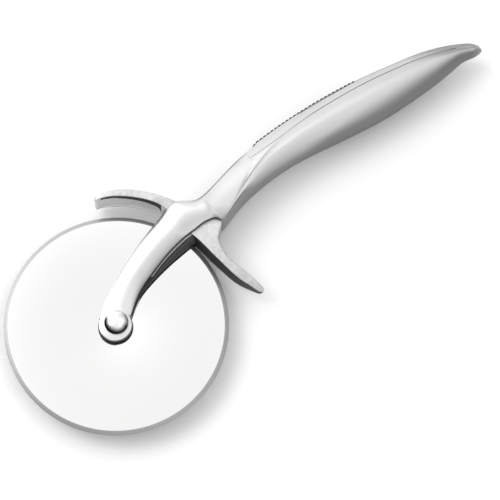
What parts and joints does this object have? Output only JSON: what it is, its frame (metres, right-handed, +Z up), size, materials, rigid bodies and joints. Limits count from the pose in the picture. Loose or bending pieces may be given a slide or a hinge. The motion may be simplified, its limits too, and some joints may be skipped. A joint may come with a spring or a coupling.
{
  "type": "pizza_cutter",
  "caption": "Pizza cutter with a bevelled steel wheel on a forked, curved metal handle, with a finger guard and a ribbed thumb grip",
  "frame": {"origin": "Middle of the cap nut's flat end face, on the wheel's axis: the point under the axle where the cutter rests when it lies on its side", "axes": "+Z up along the wheel's axis, towards the domed bolt head; +X from the axle to the tail of the handle; +Y towards the handle's spine and thumb grip"},
  "size_m": [0.2628, 0.1023, 0.0215],
  "materials": {
    "satin_metal": "satin cast zinc alloy, plated",
    "cast_metal": "matte cast zinc alloy",
    "blade_steel": "mirror polished stainless steel",
    "polished_steel": "polished stainless steel",
    "pin_steel": "ground steel",
    "white_plastic": "acetal",
    "grip_rubber": "ribbed soft rubber"
  },
  "bodies": {
    "root": {"front_shell": "satin_metal", "back_shell": "satin_metal", "guard": "cast_metal", "spine_strip": "satin_metal", "thumb_grip": "grip_rubber", "axle_bolt": "polished_steel", "axle_sleeve": "polished_steel", "cap_nut": "polished_steel", "nut_washer": "polished_steel", "front_thrust_washer": "white_plastic", "back_thrust_washer": "white_plastic", "guard_dowels": "pin_steel", "shell_dowels": "pin_steel"},
    "wheel": {"blade": "blade_steel", "hub_bush": "white_plastic", "hub_collar": "white_plastic"}
  },
  "joints": [
    {"name": "wheel_spin", "type": "hinge", "parent": "root", "child": "wheel", "pos_m": [0, 0, 0.0108], "axis": [0, 0, 1], "continuous": true}
  ]
}
